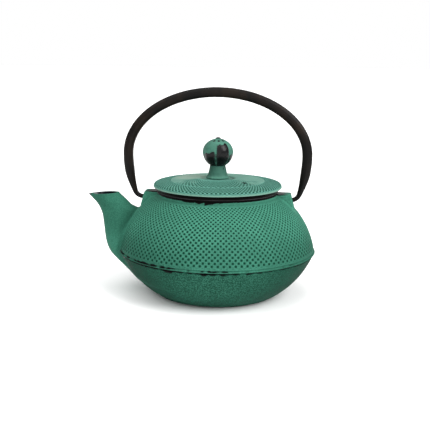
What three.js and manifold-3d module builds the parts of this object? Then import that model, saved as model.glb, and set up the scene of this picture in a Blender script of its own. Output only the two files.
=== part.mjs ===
// Cast iron teapot with a bail handle and a stainless mesh infuser.
// Millimetres, +Z up, origin at the centre of the flat foot, spout towards -X,
// and the bail swings about a line along X through the two side lugs.

import * as THREE from 'three';
import { mergeVertices } from 'three/addons/utils/BufferGeometryUtils.js';
import Module from 'manifold-3d';

const wasm = await Module();
wasm.setup();

// ---- Driving dimensions ----------------------------------------------------

const GAP = 0.3;                 // clearance between pieces that touch

// Pot shell: two arcs that meet at a thin raised rib round the belly. The lower one is
// round, and the upper one is a little taller than it is deep.
const LOWER_ARC = { r: 12.8, z: 53.4, radius: 60.6, rise: 60.6 };
const UPPER_ARC = { r: 18.1, z: 22.2, radius: 52.1, rise: 56.2 };
const RIB_Z = 31.9;
const RIB_RADIUS = 70;
const RIB_HALF_HEIGHT = 1.0;
const WALL = 3.6;
const FLOOR = 4.5;
const FOOT_CHAMFER = 0.8;

// Collar round the mouth, with a rebate that the infuser rim sits in.
const COLLAR_RADIUS = 43;
const COLLAR_TOP = 76.55;
const COLLAR_EDGE = 0.6;
const REBATE_RADIUS = 41.3;
const LEDGE_Z = 74.15;
const MOUTH_RADIUS = 38.2;
const CUT_MARGIN = 5;            // how far a cutting shape runs on past the surface it cuts
const FLOOR_EDGE = { up: 1, in: 2 };    // sloped edge between the floor and the wall

// Lugs that carry the bail pins.
const LUG_TOP = 72.9;
const LUG_ROOT = 40.2;           // where a lug ends inside the wall
const LUG_OUTER_TOP = 52.2;
const LUG_OUTER_FOOT = 54.2;
const LUG_FOOT_Z = 62.9;
const LUG_WIDTH = 12;
const LUG_BEVEL = 1.2;
const LUG_CHAMFER = 0.5;         // along the top of its outer face

// Bail: an elliptical bow over two legs that taper into inward pins.
const PIN_Z = 68.3;
const PIN_RADIUS = 1.6;
const PIN_DEPTH = 4.6;           // how far a pin reaches into its lug
const HOLE_RADIUS = PIN_RADIUS + GAP;
const BAIL_SHIFT = -0.8;         // it hangs a little towards the spout, in the play of its pins
const HOLE_END_GAP = 0.6;
const HOLE_DEPTH = PIN_DEPTH - BAIL_SHIFT + HOLE_END_GAP;
const BOW_HALF_WIDTH = 63.3;
const BOW_SPRING_Z = 99.3;       // height where the bow meets the legs
const BOW_RISE = 43.8;
const LEG_RADIUS = 78;           // gentle inward curve of each leg
const LEG_TURN = 0.32;           // radians that each leg turns by
const ELBOW_RADIUS = 6;
const ROD_THICKNESS = 7.1;       // in the plane of the bow
const ROD_DEPTH = 7.6;           // across it
const TAPER_START_Z = 89.7;
const ROD_SIDES = 12;
const CORNER_FILL = 0.2;         // how much the rod's section fills out towards a rectangle

// Spout, as level slices: height, outer edge, inner edge and half width.
const SPOUT_SLICES = [
  { z: 13.0, out: -56.6, in: -45.7, half: 8.0 },
  { z: 16.5, out: -62.0, in: -49.7, half: 12.5 },
  { z: 20.5, out: -67.3, in: -53.7, half: 15.5 },
  { z: 25.0, out: -73.1, in: -57.7, half: 17.2 },
  { z: 29.5, out: -77.5, in: -59.8, half: 17.6 },
  { z: 34.5, out: -80.0, in: -59.8, half: 17.0 },
  { z: 40.5, out: -81.4, in: -57.8, half: 15.4 },
  { z: 47.5, out: -82.4, in: -54.9, half: 13.0 },
  { z: 54.0, out: -83.35, in: -54.4, half: 10.8 },
  { z: 58.5, out: -84.9, in: -56.2, half: 9.4 },
  { z: 62.0, out: -86.9, in: -62.4, half: 8.5 },
  { z: 65.0, out: -89.6, in: -65.3, half: 7.8 },
  { z: 67.5, out: -92.2, in: -67.9, half: 7.2 },
  { z: 69.5, out: -94.1, in: -70.2, half: 6.8 },
  { z: 73.5, out: -97.1, in: -73.6, half: 6.8 },      // above the mouth, for its slanted cut
];
const SPOUT_WALL = 2.6;
const SPOUT_POINTS = 28;
const CHANNEL_FLOOR_Z = 24;
const CHANNEL_FREE_Z = 60;                                  // above it the spout stands clear of the pot
const LIP_PINCH = { from: 57.5, to: 69.5, share: 0.45 };    // how the slices narrow into the lip
const MOUTH_CUT = { pivot: [-93.4, 69.2], slope: 0.065 };   // the mouth is cut nearly level
const SPOUT_HOLE = { radius: 8, x: -66, length: 16, z: 38.3 };    // through the pot wall

// Lid: a domed plate with a rounded rim and a skirt that hangs in the mouth.
const LID_RADIUS = 45.5;
const LID_SEAT_Z = COLLAR_TOP + GAP;
const LID_RIM_TOP = 80.1;
const LID_CROWN_Z = 83.3;
const RIM_FOOT = 0.45;           // small round at the rim's lower edge
const RIM_ROUND = 2.6;           // how far the rim's upper round reaches inwards
const SKIRT_OUTER = 33;
const SKIRT_INNER = 30;
const SKIRT_FOOT_Z = 69.6;
const LID_CEILING_Z = 79;
const CEILING_ROUND = [[5, 0], [1.2, 1.2], [0, 4]];    // how the ceiling runs into the skirt
const CROWN_RADII = [40, 33, 25, 17, 9.2];              // where the dome has a ring of points
const VENT = { x: 19.9, y: -15.4, radius: 1.5 };
const SOCKET_RADIUS = 3;
const SOCKET_DEPTH = 2.6;
const KNOB_SEAT_RADIUS = 8.2;
const KNOB_SEAT_DROP = 0.5;      // the seat is sunk a little into the dome

// Knob: a ball on a flared neck, with a bud on top.
const NECK = [[8.3, 0.5], [7.5, 1.3], [6.9, 2.6], [6.4, 4.6], [5.95, 6.8], [5.6, 8.6]];   // radius, height
const BALL = { radius: 10.75, z: 101.3, upper: 9.6 };
const BUD_TOP = 111.8;
const BUD_RADIUS = 2.2;
const BUD_CHAMFER = 0.8;
const JOINT_TURN = 0.12;         // angle of the small step between the neck and the ball
const TANG_END_GAP = 0.2;

// Infuser: a flanged ring and a crimp band that hold a woven wire cup.
const RIM_RADIUS = 40.7;
const RIM_CURL = 0.75;
const RIM_SHEET = 0.4;
const SLEEVE_RADIUS = 36.0;      // outside of the ring's sleeve
const SLEEVE_FOOT_Z = 70.85;
const MESH_THICKNESS = 0.5;
const BAND_HEIGHT = 3;
const CUP_BOTTOM_RADIUS = 28.5;
const CUP_BOTTOM_Z = 21.8;
const CUP_CORNER = 4;
const CUP_LEAN = 0.1;            // slant where the rounded corner ends, in radians

const POT_SEGMENTS = 48;
const RING_SEGMENTS = 48;
const KNOB_SEGMENTS = 32;

// ---- Geometry helpers ------------------------------------------------------

// Points of an arc in the radius-height plane, from angle a to angle b. It is round
// unless its rise is given as well.
function arc(centreR, centreZ, radius, a, b, steps, rise = radius) {
  const points = [];
  for (let i = 0; i <= steps; i += 1) {
    const angle = a + (b - a) * i / steps;
    points.push([centreR + radius * Math.cos(angle), centreZ + rise * Math.sin(angle)]);
  }
  return points;
}

// The pot's arc, moved inwards by inset, from angle a to angle b.
function potArc(curve, inset, a, b, steps) {
  return arc(curve.r, curve.z, curve.radius - inset, a, b, steps, curve.rise - inset);
}

// Angle of the point at height z on a pot's arc that is moved inwards by inset.
function angleAt(curve, z, inset = 0) {
  return Math.asin((z - curve.z) / (curve.rise - inset));
}

// A mesh with merged vertices, no collapsed triangles and its faces pointing out.
function tidy(geometry) {
  const bare = geometry.clone();
  for (const name of ['normal', 'uv']) {
    if (bare.hasAttribute(name)) {
      bare.deleteAttribute(name);
    }
  }
  const merged = mergeVertices(bare, 1e-4);
  const at = merged.getAttribute('position');
  const index = merged.getIndex().array;
  const kept = [];
  const a = new THREE.Vector3();
  const b = new THREE.Vector3();
  const c = new THREE.Vector3();
  let volume = 0;
  for (let i = 0; i < index.length; i += 3) {
    const [p, q, r] = [index[i], index[i + 1], index[i + 2]];
    if (p !== q && q !== r && r !== p) {
      kept.push([p, q, r]);
      a.fromBufferAttribute(at, p);
      b.fromBufferAttribute(at, q);
      c.fromBufferAttribute(at, r);
      volume += a.dot(b.cross(c));
    }
  }
  const wound = volume < 0 ? kept.map(([p, q, r]) => [p, r, q]) : kept;
  merged.setIndex(wound.flat());
  return merged;
}

function solidOf(geometry) {
  const clean = tidy(geometry);
  return new wasm.Manifold(new wasm.Mesh({
    numProp: 3,
    vertProperties: new Float32Array(clean.getAttribute('position').array),
    triVerts: new Uint32Array(clean.getIndex().array),
  }));
}

function geometryOf(solid) {
  const mesh = solid.getMesh();
  const geometry = new THREE.BufferGeometry();
  geometry.setAttribute('position', new THREE.BufferAttribute(mesh.vertProperties, 3));
  geometry.setIndex(new THREE.BufferAttribute(mesh.triVerts, 1));
  return geometry;
}

// Revolves a list of [radius, height] points about the Z axis.
function revolve(points, segments) {
  const profile = points.map(([r, z]) => new THREE.Vector2(r, z));
  return new THREE.LatheGeometry(profile, segments).rotateX(Math.PI / 2);
}

// Revolves an outline that closes on itself.
function revolveRing(points, segments) {
  return tidy(revolve([...points, points[0]], segments));
}

// A closed skin through rings that have the same number of points.
function loft(rings) {
  const count = rings[0].length;
  const positions = rings.flat().flatMap((p) => [p.x, p.y, p.z]);
  const index = [];
  for (let j = 0; j + 1 < rings.length; j += 1) {
    for (let i = 0; i < count; i += 1) {
      const next = (i + 1) % count;
      const [a, b, c, d] = [j * count + i, j * count + next, (j + 1) * count + next, (j + 1) * count + i];
      index.push(a, b, c, a, c, d);
    }
  }
  for (const [j, flip] of [[0, true], [rings.length - 1, false]]) {
    const centre = new THREE.Vector3();
    rings[j].forEach((p) => centre.add(p));
    centre.divideScalar(count);
    const middle = positions.length / 3;
    positions.push(centre.x, centre.y, centre.z);
    for (let i = 0; i < count; i += 1) {
      const [a, b] = [j * count + i, j * count + (i + 1) % count];
      index.push(middle, flip ? b : a, flip ? a : b);
    }
  }
  const geometry = new THREE.BufferGeometry();
  geometry.setAttribute('position', new THREE.Float32BufferAttribute(positions, 3));
  geometry.setIndex(index);
  return tidy(geometry);
}

// ---- Pot body --------------------------------------------------------------

function outerProfile() {
  const footAngle = angleAt(LOWER_ARC, FOOT_CHAMFER);
  const footRadius = LOWER_ARC.r + Math.sqrt(LOWER_ARC.radius ** 2 - LOWER_ARC.z ** 2) - FOOT_CHAMFER;
  const lower = potArc(LOWER_ARC, 0, footAngle, angleAt(LOWER_ARC, RIB_Z - RIB_HALF_HEIGHT), 6);
  const collarAngle = Math.acos((COLLAR_RADIUS - UPPER_ARC.r) / UPPER_ARC.radius);
  const upper = potArc(UPPER_ARC, 0, angleAt(UPPER_ARC, RIB_Z + RIB_HALF_HEIGHT), collarAngle, 9);
  return [
    [0, 0],
    [footRadius, 0],
    ...lower,
    [RIB_RADIUS, RIB_Z],
    ...upper,
    [COLLAR_RADIUS, COLLAR_TOP - COLLAR_EDGE],
    [COLLAR_RADIUS - COLLAR_EDGE, COLLAR_TOP],
  ];
}

function innerProfile() {
  const neckAngle = Math.acos((MOUTH_RADIUS - UPPER_ARC.r) / (UPPER_ARC.radius - WALL));
  const lower = potArc(LOWER_ARC, WALL,
    angleAt(LOWER_ARC, FLOOR + FLOOR_EDGE.up, WALL), angleAt(LOWER_ARC, RIB_Z, WALL), 5);
  const upper = potArc(UPPER_ARC, WALL, angleAt(UPPER_ARC, RIB_Z, WALL), neckAngle, 7);
  return [
    [0, FLOOR],
    [lower[0][0] - FLOOR_EDGE.in, FLOOR],
    ...lower,
    ...upper.slice(1),
    [MOUTH_RADIUS, LEDGE_Z],
    [REBATE_RADIUS, LEDGE_Z],
    [REBATE_RADIUS, COLLAR_TOP + CUT_MARGIN],
    [0, COLLAR_TOP + CUT_MARGIN],
  ];
}

// One level slice of the spout: a rounded outline that narrows towards the lip.
function spoutRing({ z, out, in: inner, half }) {
  const middle = (out + inner) / 2;
  const reach = (inner - out) / 2;
  const pinch = THREE.MathUtils.smoothstep(z, LIP_PINCH.from, LIP_PINCH.to) * LIP_PINCH.share;
  const ring = [];
  for (let i = 0; i < SPOUT_POINTS; i += 1) {
    const angle = 2 * Math.PI * i / SPOUT_POINTS;
    const along = Math.cos(angle);
    const narrow = 1 - pinch * Math.max(0, -along) ** 1.5;
    ring.push(new THREE.Vector3(middle + reach * along, half * narrow * Math.sin(angle), z));
  }
  return ring;
}

// Everything above the slanted plane of the mouth, as a box to cut away.
function aboveMouth() {
  const box = new THREE.BoxGeometry(60, 60, 20).translate(0, 0, 10);    // its underside at 0
  box.rotateY(-Math.atan(MOUTH_CUT.slope));
  return solidOf(box.translate(MOUTH_CUT.pivot[0], 0, MOUTH_CUT.pivot[1]));
}

function spoutSolid() {
  return solidOf(loft(SPOUT_SLICES.map(spoutRing)));
}

function spoutChannel() {
  const slices = SPOUT_SLICES
    .filter((slice) => slice.z > CHANNEL_FLOOR_Z)
    .map((slice) => ({
      ...slice,
      out: slice.out + SPOUT_WALL,
      in: slice.in - (slice.z > CHANNEL_FREE_Z ? SPOUT_WALL : 0),
      half: slice.half - SPOUT_WALL,
    }));
  return solidOf(loft(slices.map(spoutRing)));
}

function lugSolid(side) {
  const outline = new THREE.Shape();
  outline.moveTo(LUG_ROOT, LUG_FOOT_Z);
  outline.lineTo(LUG_OUTER_FOOT, LUG_FOOT_Z);
  outline.lineTo(LUG_OUTER_TOP, LUG_TOP - LUG_CHAMFER);
  outline.lineTo(LUG_OUTER_TOP - LUG_CHAMFER, LUG_TOP);
  outline.lineTo(LUG_ROOT, LUG_TOP);
  outline.closePath();
  const bevel = { bevelSize: LUG_BEVEL / 2, bevelThickness: LUG_BEVEL, bevelSegments: 1 };
  const block = new THREE.ExtrudeGeometry(outline, {
    ...bevel,
    bevelOffset: -LUG_BEVEL / 2,
    depth: LUG_WIDTH - 2 * LUG_BEVEL,
  });
  block.translate(0, 0, LUG_BEVEL - LUG_WIDTH / 2);
  block.rotateX(Math.PI / 2);
  if (side < 0) {
    block.rotateZ(Math.PI);
  }
  return solidOf(block);
}

function pinHole(side) {
  const length = HOLE_DEPTH + CUT_MARGIN;
  const hole = new THREE.CylinderGeometry(HOLE_RADIUS, HOLE_RADIUS, length, 16);
  hole.rotateZ(Math.PI / 2);
  return solidOf(hole.translate(side * (lugFace() - HOLE_DEPTH + length / 2), 0, PIN_Z));
}

// X of a lug's outer face at the height of the pin.
function lugFace() {
  const share = (PIN_Z - LUG_FOOT_Z) / (LUG_TOP - LUG_FOOT_Z);
  return LUG_OUTER_FOOT + (LUG_OUTER_TOP - LUG_OUTER_FOOT) * share;
}

function potBody() {
  const profile = outerProfile();
  const shape = solidOf(revolve([...profile, [0, COLLAR_TOP]], POT_SEGMENTS));
  const hollow = solidOf(revolve(innerProfile(), POT_SEGMENTS));
  const spout = spoutSolid().subtract(aboveMouth());
  const { radius, x, length, z } = SPOUT_HOLE;
  const wallHole = new THREE.CylinderGeometry(radius, radius, length, 24);
  wallHole.rotateZ(Math.PI / 2).translate(x, 0, z);
  let pot = shape.add(spout);
  for (const side of [-1, 1]) {
    pot = pot.add(lugSolid(side));
  }
  // The lugs and the spout reach into the wall, so the hollow is cut after they are joined.
  pot = pot.subtract(hollow).subtract(spoutChannel().subtract(shape)).subtract(solidOf(wallHole));
  for (const side of [-1, 1]) {
    pot = pot.subtract(pinHole(side));
  }
  return geometryOf(pot);
}

// ---- Lid and knob ----------------------------------------------------------

// Height of the lid's top at radius r, inside its rounded rim.
function lidTop(r) {
  const share = r / (LID_RADIUS - RIM_ROUND);
  return LID_CROWN_Z - (LID_CROWN_Z - LID_RIM_TOP) * share ** 2;
}

function lid() {
  const roundFoot = LID_SEAT_Z + RIM_FOOT;
  const rim = arc(LID_RADIUS - RIM_ROUND, roundFoot, RIM_ROUND, 0, Math.PI / 2, 5,
    LID_RIM_TOP - roundFoot);
  const crown = CROWN_RADII.map((r) => [r, lidTop(r)]);
  const skirtRound = (SKIRT_OUTER - SKIRT_INNER) / 2;
  const skirtFoot = arc((SKIRT_OUTER + SKIRT_INNER) / 2, SKIRT_FOOT_Z + skirtRound, skirtRound,
    -Math.PI, 0, 4);
  const profile = [
    [0, LID_CEILING_Z],
    ...CEILING_ROUND.map(([back, down]) => [SKIRT_INNER - back, LID_CEILING_Z - down]),
    ...skirtFoot,
    [SKIRT_OUTER, LID_SEAT_Z],
    [LID_RADIUS - RIM_FOOT, LID_SEAT_Z],
    ...rim,
    ...crown,
    [KNOB_SEAT_RADIUS, knobSeat()],
    [0, knobSeat()],
  ];
  const plate = solidOf(revolve(profile, POT_SEGMENTS));
  const vent = new THREE.CylinderGeometry(VENT.radius, VENT.radius, 20, 16).rotateX(Math.PI / 2);
  const socket = new THREE.CylinderGeometry(SOCKET_RADIUS, SOCKET_RADIUS, 2 * SOCKET_DEPTH, 16);
  socket.rotateX(Math.PI / 2).translate(0, 0, knobSeat());
  return geometryOf(plate
    .subtract(solidOf(vent.translate(VENT.x, VENT.y, LID_CROWN_Z)))
    .subtract(solidOf(socket)));
}

// Height of the flat seat that the knob stands on.
function knobSeat() {
  return lidTop(KNOB_SEAT_RADIUS) - KNOB_SEAT_DROP;
}

// The knob's tang sits in a blind socket in the lid.
function lidKnob() {
  const foot = knobSeat() + GAP;
  const tang = SOCKET_RADIUS - GAP;
  const neck = NECK.map(([r, up]) => [r, foot + up]);
  const neckAngle = Math.asin((neck.at(-1)[1] - BALL.z) / BALL.radius);
  const lowerBall = arc(0, BALL.z, BALL.radius, neckAngle + JOINT_TURN, 0, 5);
  const upperBall = arc(0, 0, 1, 0, Math.acos(BUD_RADIUS / BALL.radius), 6)
    .slice(1)
    .map(([c, s]) => [c * BALL.radius, BALL.z + s * BALL.upper]);
  const profile = [
    [0, foot - SOCKET_DEPTH + TANG_END_GAP],
    [tang, foot - SOCKET_DEPTH + TANG_END_GAP],
    [tang, foot],
    [neck[0][0], foot],
    ...neck,
    ...lowerBall,
    ...upperBall,
    [BUD_RADIUS, BUD_TOP - BUD_CHAMFER],
    [BUD_RADIUS - BUD_CHAMFER, BUD_TOP],
    [0, BUD_TOP],
  ];
  return tidy(revolve(profile, KNOB_SEGMENTS));
}

// ---- Bail ------------------------------------------------------------------

// Centre line of the right half of the bail, from the pin's tip to the crown.
function bailHalf() {
  const points = [];
  const legFoot = {
    x: BOW_HALF_WIDTH - LEG_RADIUS * (1 - Math.cos(LEG_TURN)),
    z: BOW_SPRING_Z - LEG_RADIUS * Math.sin(LEG_TURN),
  };
  const elbowTop = PIN_Z + ELBOW_RADIUS * (1 - Math.sin(LEG_TURN));
  const straight = (legFoot.z - elbowTop) / Math.cos(LEG_TURN);
  const elbowX = legFoot.x - straight * Math.sin(LEG_TURN);
  const centreX = elbowX - ELBOW_RADIUS * Math.cos(LEG_TURN);
  points.push([lugFace() - PIN_DEPTH, PIN_Z], [centreX, PIN_Z]);
  for (let i = 1; i <= 6; i += 1) {
    const turn = -Math.PI / 2 + (Math.PI / 2 - LEG_TURN) * i / 6;
    points.push([centreX + ELBOW_RADIUS * Math.cos(turn), PIN_Z + ELBOW_RADIUS * (1 + Math.sin(turn))]);
  }
  for (let i = 0; i <= 5; i += 1) {
    const turn = LEG_TURN * (1 - i / 5);
    const x = BOW_HALF_WIDTH - LEG_RADIUS * (1 - Math.cos(turn));
    points.push([x, BOW_SPRING_Z - LEG_RADIUS * Math.sin(turn)]);
  }
  for (let i = 1; i <= 12; i += 1) {
    const turn = Math.PI / 2 * i / 12;
    points.push([BOW_HALF_WIDTH * Math.cos(turn), BOW_SPRING_Z + BOW_RISE * Math.sin(turn)]);
  }
  return points;
}

// A sine or cosine raised to a power, keeping its sign.
function rounded(value, power) {
  return Math.sign(value) * Math.abs(value) ** power;
}

function bailHandle() {
  const half = bailHalf();
  const mirrored = half.slice(0, -1).reverse().map(([x, z]) => [-x, z]);
  const line = [...half, ...mirrored].map(([x, z]) => [x + BAIL_SHIFT, z]);
  const rings = line.map(([x, z], i) => {
    const before = line[Math.max(i - 1, 0)];
    const after = line[Math.min(i + 1, line.length - 1)];
    const along = new THREE.Vector2(after[0] - before[0], after[1] - before[1]).normalize();
    const share = THREE.MathUtils.smoothstep(z, PIN_Z - 1, TAPER_START_Z);
    const thick = THREE.MathUtils.lerp(PIN_RADIUS, ROD_THICKNESS / 2, share);
    const deep = THREE.MathUtils.lerp(PIN_RADIUS, ROD_DEPTH / 2, share);
    const corner = 1 - CORNER_FILL * share;
    return Array.from({ length: ROD_SIDES }, (_, k) => {
      const angle = 2 * Math.PI * k / ROD_SIDES;
      const across = thick * rounded(Math.cos(angle), corner);
      const depth = deep * rounded(Math.sin(angle), corner);
      return new THREE.Vector3(x - along.y * across, depth, z + along.x * across);
    });
  });
  return loft(rings);
}

// ---- Infuser ---------------------------------------------------------------

// Flat ring with a curled edge, and a sleeve that the wire cup is clamped on.
function infuserRim() {
  const flangeFoot = LEDGE_Z + GAP;
  const curlCentre = [RIM_RADIUS - RIM_CURL, flangeFoot + RIM_CURL];
  const curl = arc(curlCentre[0], curlCentre[1], RIM_CURL, -Math.PI / 2, Math.PI, 7);
  return revolveRing([
    [SLEEVE_RADIUS - RIM_SHEET, SLEEVE_FOOT_Z],
    [SLEEVE_RADIUS, SLEEVE_FOOT_Z],
    [SLEEVE_RADIUS, flangeFoot],
    ...curl,
    [RIM_RADIUS - 2 * RIM_CURL, flangeFoot + RIM_SHEET],
    [SLEEVE_RADIUS - RIM_SHEET, flangeFoot + RIM_SHEET],
  ], RING_SEGMENTS);
}

function infuserBand() {
  const inside = SLEEVE_RADIUS + MESH_THICKNESS + 2 * GAP;
  const top = LEDGE_Z;
  return revolveRing([
    [inside, top - BAND_HEIGHT],
    [inside + RIM_SHEET, top - BAND_HEIGHT],
    [inside + RIM_SHEET, top],
    [inside, top],
  ], RING_SEGMENTS);
}

// The wire cup, as a thin closed shell of its outer size.
function infuserMesh() {
  const topRadius = SLEEVE_RADIUS + GAP + MESH_THICKNESS;
  const top = LEDGE_Z;
  const corner = arc(CUP_BOTTOM_RADIUS - CUP_CORNER, CUP_BOTTOM_Z + CUP_CORNER, CUP_CORNER,
    -Math.PI / 2, CUP_LEAN, 4);
  const innerCorner = arc(CUP_BOTTOM_RADIUS - CUP_CORNER, CUP_BOTTOM_Z + CUP_CORNER,
    CUP_CORNER - MESH_THICKNESS, CUP_LEAN, -Math.PI / 2, 4);
  return tidy(revolve([
    [0, CUP_BOTTOM_Z],
    ...corner,
    [topRadius, SLEEVE_FOOT_Z - 1],
    [topRadius, top],
    [topRadius - MESH_THICKNESS, top],
    [topRadius - MESH_THICKNESS, SLEEVE_FOOT_Z - 1],
    ...innerCorner,
    [0, CUP_BOTTOM_Z + MESH_THICKNESS],
  ], RING_SEGMENTS));
}

// ---- Assembly --------------------------------------------------------------

function material(color, roughness, metalness) {
  return new THREE.MeshStandardMaterial({ color, roughness, metalness });
}

const greenIron = material(0x4a8d79, 0.75, 0.0);
const blackIron = material(0x2a2622, 0.6, 0.0);
const stainless = material(0xb9b9b6, 0.3, 1.0);

const teapot = new THREE.Group();

function place(name, geometry, finish, parent) {
  const mesh = new THREE.Mesh(geometry, finish);
  mesh.name = name;
  parent.add(mesh);
}

place('pot_body', potBody(), greenIron, teapot);
place('bail_handle', bailHandle(), blackIron, teapot);

const infuser = new THREE.Group();
place('infuser_rim', infuserRim(), stainless, infuser);
place('infuser_crimp_band', infuserBand(), stainless, infuser);
place('infuser_mesh', infuserMesh(), stainless, infuser);
teapot.add(infuser);

const lidGroup = new THREE.Group();
place('lid', lid(), greenIron, lidGroup);
place('lid_knob', lidKnob(), greenIron, lidGroup);
teapot.add(lidGroup);

export default teapot;
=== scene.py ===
"""Looks for a cast iron teapot with a bail handle and a wire mesh infuser.

Shapes are worked out in millimetres in the part's own frame (+Z up, spout towards -X,
the bail's hinge along X) and written to Blender in metres.
"""

import math

import bpy
import numpy as np
from mathutils import Matrix, Vector


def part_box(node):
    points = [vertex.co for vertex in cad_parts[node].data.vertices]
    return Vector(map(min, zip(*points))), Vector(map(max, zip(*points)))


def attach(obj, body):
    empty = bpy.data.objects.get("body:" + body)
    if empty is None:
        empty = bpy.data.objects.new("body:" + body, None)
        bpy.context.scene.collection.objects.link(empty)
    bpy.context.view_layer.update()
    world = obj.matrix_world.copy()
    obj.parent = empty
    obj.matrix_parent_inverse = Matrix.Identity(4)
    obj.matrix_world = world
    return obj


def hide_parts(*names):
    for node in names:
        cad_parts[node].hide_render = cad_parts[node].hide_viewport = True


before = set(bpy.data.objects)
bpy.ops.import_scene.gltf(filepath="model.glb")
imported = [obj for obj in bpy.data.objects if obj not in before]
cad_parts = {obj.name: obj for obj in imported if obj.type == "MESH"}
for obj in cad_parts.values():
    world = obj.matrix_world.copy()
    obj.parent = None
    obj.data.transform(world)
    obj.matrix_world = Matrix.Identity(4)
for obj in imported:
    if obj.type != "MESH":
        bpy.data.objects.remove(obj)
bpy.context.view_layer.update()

MM = 0.001

# ---- Sizes, in millimetres ----

LOWER_ARC = (12.8, 53.4, 60.6, 60.6)     # centre radius and height, reach outwards and upwards
UPPER_ARC = (18.1, 22.2, 52.1, 56.2)
RIB_Z = 31.9
RIB_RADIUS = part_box("pot_body")[1].x / MM
RIB_SKIN_RADIUS = 69.45              # the skin that the rib stands on
WALL = 3.6
FLOOR = 4.5
COLLAR_RADIUS = 43.0
COLLAR_TOP = 76.55
REBATE_RADIUS = 41.3
LEDGE_Z = 74.15
MOUTH_RADIUS = 38.2
COLLAR_LINE_Z = 74.2                 # a small step round the black collar, with a painted highlight line on it

PIN_Z = 68.3
PIN_RADIUS = 1.6
PIN_DEPTH = 4.6
HOLE_RADIUS = 1.9
BAIL_SHIFT = -0.8
HOLE_DEPTH = 6.0
LUG_TOP = 72.9
LUG_FOOT_Z = 62.9
LUG_OUTER_TOP = 52.2
LUG_OUTER_FOOT = 54.2
LUG_HALF_WIDTH = 6.0
LUG_ROOT_X = 40.0

SPOUT_SLICES = np.array([            # height, outer edge, inner edge, half width
    (13.0, -56.6, -45.7, 8.0),
    (16.5, -62.0, -49.7, 12.5),
    (20.5, -67.3, -53.7, 15.5),
    (25.0, -73.1, -57.7, 17.2),
    (29.5, -77.5, -59.8, 17.6),
    (34.5, -80.0, -59.8, 17.0),
    (40.5, -81.4, -57.8, 15.4),
    (47.5, -82.4, -54.9, 13.0),
    (54.0, -83.35, -54.4, 10.8),
    (58.5, -84.9, -56.2, 9.4),
    (62.0, -86.9, -62.4, 8.5),
    (65.0, -89.6, -65.3, 7.8),
    (67.5, -92.2, -67.9, 7.2),
    (69.5, -94.1, -70.2, 6.8),
    (73.5, -97.1, -73.6, 6.8),
])
SPOUT_WALL = 2.6
CHANNEL_FLOOR_Z = 24.0
MOUTH_CUT = (-93.4, 69.2, 0.065)     # a point of the mouth's plane and its slope
SPOUT_HOLE = (8.0, 38.3)             # radius and height of the hole in the pot wall
PINCH_POWER = 1.5                    # how fast the pinch grows towards the spout's outer edge

DOTS = 111                           # bumps in one row round the pot
LID_DOTS = 96                        # and round the lid's outer ring
DISC_DOTS = 62                       # and round its raised disc
DOT_START_Z = 34.0
DOT_END_Z = 70.4

LID_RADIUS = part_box("lid")[1].x / MM
LID_SEAT_Z = 76.85
LID_RIM_TOP = 80.1
LID_CROWN_Z = 83.3
RIM_FOOT = 0.45                      # small round at the rim's lower edge
RIM_ROUND = 2.6                      # how far the rim's upper round reaches inwards
ROUND_START = LID_RADIUS - RIM_ROUND  # radius where that round begins
DISC_RADIUS = 33.0
SKIRT_OUTER = 33.0
SKIRT_INNER = 30.0
SKIRT_FOOT_Z = 69.6
LID_CEILING_Z = 79.0
KNOB_SEAT_RADIUS = 8.2
VENT = (19.9, -15.4, 1.5)

BALL_RADIUS = 10.75
BALL_Z = 101.3
BALL_UPPER = 9.6
KNOB_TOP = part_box("lid_knob")[1].z / MM
PANELS = 6                           # panels between the grooves of the ball
DIMPLES = 9                          # pits in the ring round the bud on top
GROOVE_TURN = 0.562                  # turns the grooves, in shares of one panel
NECK_HEIGHT = 9.0                    # of the knob's neck above its foot
BUD_RADIUS = 2.3

BOW_HALF_WIDTH = 63.3
BOW_SPRING_Z = 99.3
BOW_RISE = 43.8
LEG_RADIUS = 78.0
LEG_TURN = 0.32
ELBOW_RADIUS = 6.0
ROD_THICKNESS = 7.1
ROD_DEPTH = 7.6
TAPER_START_Z = 89.7

RIM_RADIUS = 40.7
RIM_CURL = 0.75
RIM_SHEET = 0.4
SLEEVE_RADIUS = 36.0
SLEEVE_FOOT_Z = 70.85
MESH_THICKNESS = 0.5
BAND_HEIGHT = 3.0
GAP = 0.3
CUP_BOTTOM_RADIUS = 28.5
CUP_BOTTOM_Z = 21.8
CUP_CORNER = 4.0

# ---- Wear, colours and weave ----

FRONT_TURN = math.radians(85.0)      # added to a turn, puts zero at the front
SMUDGE_TURN = math.radians(97.0)     # middle of the smudges under the collar
RIB_WEAR_TURN = math.radians(130.0)  # middle of the black band along the rib
COLLAR_BLACK_Z = 72.2                # where the black of the collar starts
LIP_BLACK_X = 91.2                   # how far towards the spout its lip turns black
LID_GROOVE = (10.9, 1.1)             # radius and width of the dark ring round the knob
CREASE = math.radians(35.0)          # sharper edges than this are kept sharp

GREEN_LIGHT = (0.052, 0.212, 0.145)
GREEN_DARK = (0.001, 0.023, 0.013)
LID_GREEN = (0.1, 0.27, 0.215)
# paler colour of the lid's disc, also used for a painted highlight on its bead
LID_PALE_AND_HIGHLIGHT = (0.21, 0.295, 0.24)
BLACK_IRON = (0.002, 0.002, 0.002)
WIRES_ROUND = 300.0
WIRE_PITCH = 0.0007                  # metres


# ---- Camera, light and floor ----

def make_camera():
    data = bpy.data.cameras.new("camera")
    data.sensor_width = 36.0
    data.lens = 69.8
    data.shift_x = 0.0714
    camera = bpy.data.objects.new("camera", data)
    camera.location = (0.0506, -0.5831, 0.1749)
    turn = (Matrix.Rotation(math.radians(7.26), 3, "Z") @ Matrix.Rotation(math.radians(78.49), 3, "X")
            @ Matrix.Rotation(math.radians(0.31), 3, "Z"))
    camera.rotation_euler = turn.to_euler()
    bpy.context.scene.collection.objects.link(camera)
    bpy.context.scene.camera = camera


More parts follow.
